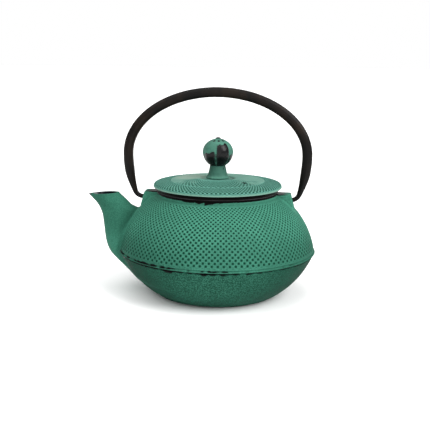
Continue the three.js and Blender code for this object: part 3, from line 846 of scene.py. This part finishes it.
def make_knob():
    columns = 192
    foot = knob_seat() + GAP
    neck = [(0.0, -2.4), (2.7, -2.4), (2.7, 0.0), (7.9, 0.0), (8.35, 0.3), (8.3, 0.6), (7.9, 0.95),
            (7.45, 1.4), (7.1, 2.1), (6.8, 3.0), (6.5, 4.2), (6.15, 5.8), (5.85, 7.2), (5.7, 8.2),
            (5.6, 8.7), (5.3, 8.95)]
    profile = [(r, foot + up) for r, up in neck]
    low = math.asin((foot + 9.2 - BALL_Z) / BALL_RADIUS)
    profile += arc(0.0, BALL_Z, BALL_RADIUS, low, 0.0, 26)
    steps = np.linspace(0.0, math.acos(BUD_RADIUS / BALL_RADIUS), 34)[1:]
    profile += [(BALL_RADIUS * math.cos(a), BALL_Z + BALL_UPPER * math.sin(a)) for a in steps]
    crown = BALL_Z + BALL_UPPER * math.sin(steps[-1])
    profile += [(1.9, crown + 0.1), (1.75, crown + 0.5), (1.6, KNOB_TOP - 0.6),
                (1.2, KNOB_TOP - 0.15), (0.6, KNOB_TOP), (0.0, KNOB_TOP)]
    knob = make_object("lid_knob_casting", *lathe([(r, z, columns) for r, z in profile]))
    points = points_of(knob)
    z = points[:, 2]
    turn = turn_of(points)
    r = radius_of(points)
    height = (z - BALL_Z) / BALL_RADIUS
    ball = (z > foot + 9.1) & (r > BUD_RADIUS)
    factor = np.where(ball, knob_radius(turn, height), 1.0)
    points[:, :2] *= factor[:, None]
    petals = np.cos(DIMPLES * (turn + 0.35))
    ring = np.exp(-((r - 4.7) / 1.1) ** 2) * (height > 0.5)
    points[:, 2] += ring * (0.4 * petals - 0.4)
    set_points(knob, points)
    across = panel_share(turn)
    groove = np.exp(-(np.minimum(across, 1 - across) / 0.07) ** 2) * ball
    store(knob, "groove", groove)
    store(knob, "wear", knob_wear(points, height, turn, foot))
    neck = z < foot + NECK_HEIGHT
    # painted shade: the neck darker towards the ball above it, lighter at its flared foot
    store(knob, "painted_shade", 0.4 * neck * smoothstep(z, foot + 1.0, foot + 3.5))
    bud = smoothstep(z, KNOB_TOP - 1.1, KNOB_TOP - 0.5) * 0.8
    store(knob, "petal", np.maximum(ring * (0.5 - 0.5 * petals), bud))
    return knob


def knob_wear(points, height, turn, foot):
    """Black shows through on the lower half of the ball and on every third panel."""
    z = points[:, 2]
    noise = wave_noise(points, 9.0, 5) + 0.6 * wave_noise(points, 2.6, 6)
    lower = 1 - smoothstep(height + 0.12 * noise, -0.14, 0.1)
    across = panel_share(turn)
    number = np.floor(turn * PANELS / (2 * math.pi) + GROOVE_TURN)
    bare = (number % 3 == 2) * smoothstep(np.minimum(across, 1 - across), 0.04, 0.09)
    bare *= 1 - smoothstep(height + 0.05 * noise, 0.52, 0.66)
    neck = z < foot + NECK_HEIGHT
    right = smoothstep(points[:, 0] / 6.0 + 0.2 * noise, 0.55, 0.8)
    stain = right * smoothstep(z, foot + 4.0, foot + 7.5) * smoothstep(noise, -0.4, 0.3)
    return np.where(neck, 0.8 * stain, np.clip(lower + bare, 0.0, 1.0))


# ---- Bail ----

def bail_line():
    """Centre line of the right half of the bail, from the pin's tip to the crown."""
    foot_x = BOW_HALF_WIDTH - LEG_RADIUS * (1 - math.cos(LEG_TURN))
    foot_z = BOW_SPRING_Z - LEG_RADIUS * math.sin(LEG_TURN)
    elbow_top = PIN_Z + ELBOW_RADIUS * (1 - math.sin(LEG_TURN))
    straight = (foot_z - elbow_top) / math.cos(LEG_TURN)
    centre_x = foot_x - straight * math.sin(LEG_TURN) - ELBOW_RADIUS * math.cos(LEG_TURN)
    tip = lug_face() - PIN_DEPTH
    line = [(x, PIN_Z) for x in np.linspace(tip, centre_x, 6)]
    for a in np.linspace(-math.pi / 2, -LEG_TURN, 18)[1:]:
        line.append((centre_x + ELBOW_RADIUS * math.cos(a), PIN_Z + ELBOW_RADIUS * (1 + math.sin(a))))
    for a in np.linspace(LEG_TURN, 0.0, 24):
        line.append((BOW_HALF_WIDTH - LEG_RADIUS * (1 - math.cos(a)),
                     BOW_SPRING_Z - LEG_RADIUS * math.sin(a)))
    for a in np.linspace(0.0, math.pi / 2, 70)[1:]:
        line.append((BOW_HALF_WIDTH * math.cos(a), BOW_SPRING_Z + BOW_RISE * math.sin(a)))
    return np.array(line)


def bail_section(count):
    """Rounded six-sided section, one ridge towards the front and one towards the back."""
    turn = turns(count)
    corner = (turn + math.pi / 6) % (math.pi / 3) - math.pi / 6
    hexagon = math.cos(math.pi / 6) / np.cos((turn % (math.pi / 3)) - math.pi / 6)
    radius = 0.72 * hexagon + 0.28 - 0.02 * np.cos(6 * corner)
    across, deep = radius * np.cos(turn + math.pi / 2), radius * np.sin(turn + math.pi / 2)
    return across / np.abs(across).max(), deep / np.abs(deep).max()


def make_bail():
    half = bail_line()
    line = np.concatenate([half, (half[:-1] * (-1, 1))[::-1]]) + (BAIL_SHIFT, 0.0)
    along = np.gradient(line, axis=0)
    along /= np.linalg.norm(along, axis=1, keepdims=True)
    across, deep = bail_section(48)
    share = smoothstep(line[:, 1], PIN_Z - 1, TAPER_START_Z)
    rings = []
    for (x, z), (ax, az), s in zip(line, along, share):
        thick = PIN_RADIUS + (ROD_THICKNESS / 2 - PIN_RADIUS) * s
        wide = PIN_RADIUS + (ROD_DEPTH / 2 - PIN_RADIUS) * s
        rings.append(np.stack([x - az * across * thick, deep * wide, z + ax * across * thick], 1))
    points, faces = loft(rings)
    bail = make_object("bail", points, faces)
    hammered = wave_noise(points, 9.0, 17) * 0.06
    x, up = points[:, 0], points[:, 2] - BOW_SPRING_Z
    r = np.hypot(x, up)
    low, high = (np.array(corner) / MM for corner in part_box("bail_handle"))
    outward = np.stack([x / r, np.zeros(len(r)), up / r], 1)
    inward = points - outward * np.abs(hammered)[:, None]
    set_points(bail, np.clip(inward, low, high))
    return bail


# ---- Infuser ----

def make_rim():
    foot = LEDGE_Z + GAP
    curl = arc(RIM_RADIUS - RIM_CURL, foot + RIM_CURL, RIM_CURL, -math.pi / 2, math.pi, 18)
    flange = [(RIM_RADIUS - 2 * RIM_CURL, foot + RIM_SHEET + 0.15),
              (RIM_RADIUS - 2 * RIM_CURL - 0.2, foot + RIM_SHEET),
              (SLEEVE_RADIUS + 0.6, foot + RIM_SHEET)]
    bend = arc(SLEEVE_RADIUS + 0.5, foot - 0.5, 0.9, math.pi / 2, math.pi, 6)
    outside = arc(SLEEVE_RADIUS + 0.5, foot - 0.5, 0.5, math.pi, math.pi / 2, 4)
    outline = [(SLEEVE_RADIUS - RIM_SHEET, SLEEVE_FOOT_Z), (SLEEVE_RADIUS, SLEEVE_FOOT_Z)]
    outline += outside + curl + flange + bend[1:]
    return make_object("infuser_flange", *lathe_ring(outline, 192))


def make_band():
    inside = SLEEVE_RADIUS + MESH_THICKNESS + 2 * GAP
    outside = inside + RIM_SHEET
    top, low = LEDGE_Z, LEDGE_Z - BAND_HEIGHT
    outline = [(inside, low), (inside + 0.3, low), (outside, low + 0.1), (outside, low + 1.2),
               (outside - 0.12, low + 1.5), (outside, low + 1.8), (outside, top - 0.1),
               (inside + 0.3, top), (inside, top)]
    return make_object("infuser_band", *lathe_ring(outline, 192))


def make_cup():
    def corner(radius, start, end):
        return arc(CUP_BOTTOM_RADIUS - CUP_CORNER, CUP_BOTTOM_Z + CUP_CORNER, radius, start, end, 8)
    top_radius = SLEEVE_RADIUS + GAP + MESH_THICKNESS
    outline = [(0, CUP_BOTTOM_Z), (10, CUP_BOTTOM_Z), (18, CUP_BOTTOM_Z),
               *corner(CUP_CORNER, -math.pi / 2, 0.15),
               (top_radius, SLEEVE_FOOT_Z - 1), (top_radius, LEDGE_Z),
               (top_radius - MESH_THICKNESS, LEDGE_Z),
               (top_radius - MESH_THICKNESS, SLEEVE_FOOT_Z - 1),
               *corner(CUP_CORNER - MESH_THICKNESS, 0.15, -math.pi / 2),
               (0, CUP_BOTTOM_Z + MESH_THICKNESS)]
    return make_object("infuser_cup", *lathe([(r, z, 144) for r, z in outline]))


# ---- Materials ----

class Nodes:
    """Short calls for building one material's node tree."""

    def __init__(self, name):
        self.material = bpy.data.materials.new(name)
        self.material.use_nodes = True
        self.tree = self.material.node_tree
        self.shader = self.tree.nodes["Principled BSDF"]

    def add(self, kind, **settings):
        node = self.tree.nodes.new(kind)
        for key, value in settings.items():
            setattr(node, key, value)
        return node

    def set(self, socket, value):
        """Puts a number, a colour or another node's output on an input."""
        if isinstance(value, bpy.types.NodeSocket):
            self.tree.links.new(value, socket)
        elif isinstance(value, (tuple, list)) and len(value) == 3 and socket.type == "RGBA":
            socket.default_value = (*value, 1.0)
        else:
            socket.default_value = value

    def math(self, operation, first, second=0.0, clamp=False):
        node = self.add("ShaderNodeMath", operation=operation, use_clamp=clamp)
        self.set(node.inputs[0], first)
        self.set(node.inputs[1], second)
        return node.outputs[0]

    def times(self, first, second):
        return self.math("MULTIPLY", first, second)

    def attribute(self, name):
        return self.add("ShaderNodeAttribute", attribute_name=name).outputs["Fac"]

    def place(self):
        return self.add("ShaderNodeTexCoord").outputs["Object"]

    def turn_and_height(self):
        split = self.add("ShaderNodeSeparateXYZ")
        self.set(split.inputs[0], self.place())
        turn = self.math("ARCTAN2", split.outputs["Y"], split.outputs["X"])
        return turn, split.outputs["Z"]

    def swing(self, value, size):
        """A value from 0 to 1 moved to swing about zero."""
        return self.times(self.math("SUBTRACT", value, 0.5), size)

    def noise(self, scale, detail, rough, stretch=None):
        node = self.add("ShaderNodeTexNoise")
        where = self.place()
        if stretch:
            mapping = self.add("ShaderNodeMapping")
            self.set(mapping.inputs["Vector"], where)
            mapping.inputs["Scale"].default_value = stretch
            where = mapping.outputs[0]
        self.set(node.inputs["Vector"], where)
        for key, value in (("Scale", scale), ("Detail", detail), ("Roughness", rough)):
            node.inputs[key].default_value = value
        return node.outputs["Fac"]

    def ramp(self, value, low, high):
        """0 below low, 1 above high, smooth between."""
        node = self.add("ShaderNodeMapRange", interpolation_type="SMOOTHSTEP")
        self.set(node.inputs["Value"], value)
        node.inputs["From Min"].default_value = low
        node.inputs["From Max"].default_value = high
        return node.outputs["Result"]

    def mix(self, share, first, second, kind="RGBA", start=6, out=2):
        node = self.add("ShaderNodeMix", data_type=kind)
        self.set(node.inputs["Factor"], share)
        self.set(node.inputs[start], first)
        self.set(node.inputs[start + 1], second)
        return node.outputs[out]

    def blend(self, share, first, second):
        """The mix of two numbers."""
        return self.mix(share, first, second, "FLOAT", 2, 0)

    def bump(self, height, distance, strength):
        node = self.add("ShaderNodeBump")
        node.inputs["Strength"].default_value = strength
        node.inputs["Distance"].default_value = distance
        self.set(node.inputs["Height"], height)
        return node.outputs["Normal"]

    def surface(self, **values):
        for key, value in values.items():
            self.set(self.shader.inputs[key.replace("_", " ")], value)
        return self.material


def dot_wave(n):
    """The dot lattice, from 0 in a pit to 1 on a bump, from the angle and stored phase."""
    turn, _ = n.turn_and_height()
    around = n.math("COSINE", n.times(turn, n.attribute("dot_count")))
    along = n.math("COSINE", n.attribute("dot_phase"))
    wave = n.times(around, along)
    return n.math("ADD", n.times(wave, 0.5), 0.5)


def green_iron(name, light, dark, black, pale_and_highlight=None, pit_edge=0.52):
    n = Nodes(name)
    cloud = n.noise(38.0, 5.0, 0.6)
    grain = n.noise(900.0, 3.0, 0.7)
    sand = n.noise(1300.0, 2.0, 0.6)
    level = n.math("ADD", dot_wave(n), n.swing(cloud, 0.3))
    pit = n.times(n.ramp(level, pit_edge, pit_edge - 0.32), n.attribute("dots"))
    low = n.attribute("low")
    tint = n.mix(n.ramp(cloud, 0.35, 0.68), light, tuple(c * 0.8 for c in light))
    # painted shade stored on each piece darkens the tint towards the dark green
    tint = n.mix(n.attribute("painted_shade"), tint, dark)
    speck = n.times(n.ramp(sand, 0.62, 0.4), n.blend(low, 0.3, 0.8))
    tint = n.mix(speck, tint, dark)
    tint = n.mix(n.times(pit, 0.97), tint, dark)
    # a paler colour on the lid's disc, and a painted highlight on its bead
    if pale_and_highlight is not None:
        tint = n.mix(n.times(n.attribute("pale_and_highlight"), 0.85), tint, pale_and_highlight)
    rub = n.math("ADD", n.attribute("wear"), n.swing(sand, 0.9))
    worn = n.times(n.ramp(rub, 0.35, 0.75), n.ramp(n.attribute("wear"), 0.02, 0.2))
    # where black shows, the painted highlight line on the collar turns it grey
    tint = n.mix(worn, tint, n.mix(n.attribute("painted_highlight"), black, (0.09, 0.08, 0.09)))
    rough = n.blend(worn, n.blend(n.ramp(sand, 0.3, 0.7), 0.5, 0.72), 0.3)
    cast = n.math("ADD", n.times(sand, 0.7), n.times(grain, 0.3))
    normal = n.bump(cast, 0.00022, 0.9)
    return n.surface(Base_Color=tint, Roughness=rough, Normal=normal, Specular_IOR_Level=0.03)


def black_enamel():
    n = Nodes("black_enamel")
    drift = n.noise(30.0, 2.0, 0.5)
    tint = n.mix(drift, (0.004, 0.005, 0.009), (0.012, 0.013, 0.02))
    normal = n.bump(n.noise(160.0, 2.0, 0.5), 0.00008, 0.5)
    return n.surface(Base_Color=tint, Roughness=n.blend(drift, 0.1, 0.2), Normal=normal,
                     Specular_IOR_Level=0.3)


def knob_iron():
    n = Nodes("knob_iron")
    cloud = n.noise(90.0, 4.0, 0.6)
    sand = n.noise(520.0, 4.0, 0.7)
    green = n.mix(n.ramp(cloud, 0.35, 0.68), (0.052, 0.165, 0.12), (0.026, 0.095, 0.068))
    # painted shade darkens the knob's neck
    green = n.mix(n.attribute("painted_shade"), green, (0.004, 0.04, 0.028))
    black = n.mix(cloud, (0.001, 0.002, 0.002), (0.006, 0.005, 0.006))
    rub = n.math("ADD", n.attribute("wear"), n.swing(sand, 0.55))
    worn = n.ramp(rub, 0.3, 0.7)
    paint = n.times(n.attribute("groove"), n.ramp(sand, 0.3, 0.6))
    worn = n.times(worn, n.math("SUBTRACT", 1.0, n.times(paint, 0.8)))
    worn = n.math("MAXIMUM", worn, n.ramp(n.attribute("petal"), 0.25, 0.6), clamp=True)
    tint = n.mix(worn, green, black)
    normal = n.bump(sand, 0.0002, 0.8)
    return n.surface(Base_Color=tint, Roughness=n.blend(worn, 0.6, 0.24), Normal=normal,
                     Specular_IOR_Level=0.18)


def bail_iron():
    n = Nodes("bail_iron")
    cloud = n.noise(60.0, 4.0, 0.6)
    fine = n.noise(600.0, 3.0, 0.6)
    tint = n.mix(n.ramp(cloud, 0.4, 0.65), (0.002, 0.0017, 0.0015), (0.009, 0.0055, 0.0035))
    rough = n.blend(fine, 0.36, 0.5)
    return n.surface(Base_Color=tint, Roughness=rough, Normal=n.bump(fine, 0.00012, 0.6),
                     Specular_IOR_Level=0.11)


def stainless():
    n = Nodes("stainless")
    brushed = n.noise(900.0, 3.0, 0.6, stretch=(1.0, 1.0, 12.0))
    return n.surface(Base_Color=(0.62, 0.62, 0.6), Metallic=1.0,
                     Roughness=n.blend(brushed, 0.18, 0.34), Normal=n.bump(brushed, 0.00003, 0.4))


def wire_mesh():
    n = Nodes("wire_mesh")
    turn, height = n.turn_and_height()
    warp = n.math("SINE", n.times(turn, WIRES_ROUND))
    weft = n.math("SINE", n.times(height, 2 * math.pi / WIRE_PITCH))
    wires = n.math("MAXIMUM", warp, weft)
    return n.surface(Base_Color=(0.6, 0.6, 0.58), Metallic=1.0, Roughness=0.3,
                     Alpha=n.ramp(wires, -0.25, 0.05), Normal=n.bump(wires, 0.0002, 0.8))


def pale_floor():
    n = Nodes("pale_floor")
    return n.surface(Base_Color=(0.92, 0.92, 0.92), Roughness=0.7, Specular_IOR_Level=0.1)


# ---- Assembly ----

def paint_inside(piece, is_inside):
    """Gives the faces that is_inside picks the piece's second material."""
    data = piece.data
    centres = np.empty(len(data.polygons) * 3)
    data.polygons.foreach_get("center", centres)
    normals = np.empty(len(data.polygons) * 3)
    data.polygons.foreach_get("normal", normals)
    chosen = is_inside(centres.reshape(-1, 3) / MM, normals.reshape(-1, 3))
    data.polygons.foreach_set("material_index", chosen.astype(np.int32))
    data.update()


def pot_inside(centres, normals):
    z = centres[:, 2]
    r = radius_of(centres)
    depth = pot_distance(centres)
    hollow = (depth < -WALL * 0.5) & (z > FLOOR - 0.5)
    mouth = (r < COLLAR_RADIUS - 0.9) & (z > 60.0)
    channel = (spout_distance(centres) < -1.1) & (depth > -WALL - 1.0) & (normals[:, 2] < 0.9)
    foot = z < 0.5
    return (hollow | mouth | channel) & ~foot


def lid_inside(centres, _normals):
    z = centres[:, 2]
    below_ceiling = (radius_of(centres) < SKIRT_INNER) & (z < LID_CEILING_Z + 0.05)
    return (z < LID_SEAT_Z + 0.12) | below_ceiling


make_camera()
make_studio()
make_floor(pale_floor())

enamel = black_enamel()

pot = make_pot()
finish_piece(pot, "pot", ["pot_body"],
             [green_iron("pot_iron", GREEN_LIGHT, GREEN_DARK, BLACK_IRON), enamel])
paint_inside(pot, pot_inside)

lid = make_lid()
finish_piece(lid, "lid", ["lid"],
             [green_iron("lid_iron", LID_GREEN, GREEN_DARK, BLACK_IRON, pale_and_highlight=LID_PALE_AND_HIGHLIGHT, pit_edge=0.64),
              enamel])
paint_inside(lid, lid_inside)

finish_piece(make_knob(), "lid", ["lid_knob"], [knob_iron()])
finish_piece(make_bail(), "bail", ["bail_handle"], [bail_iron()])

steel = stainless()
finish_piece(make_rim(), "infuser", ["infuser_rim"], [steel])
finish_piece(make_band(), "infuser", ["infuser_crimp_band"], [steel])
finish_piece(make_cup(), "infuser", ["infuser_mesh"], [wire_mesh()])
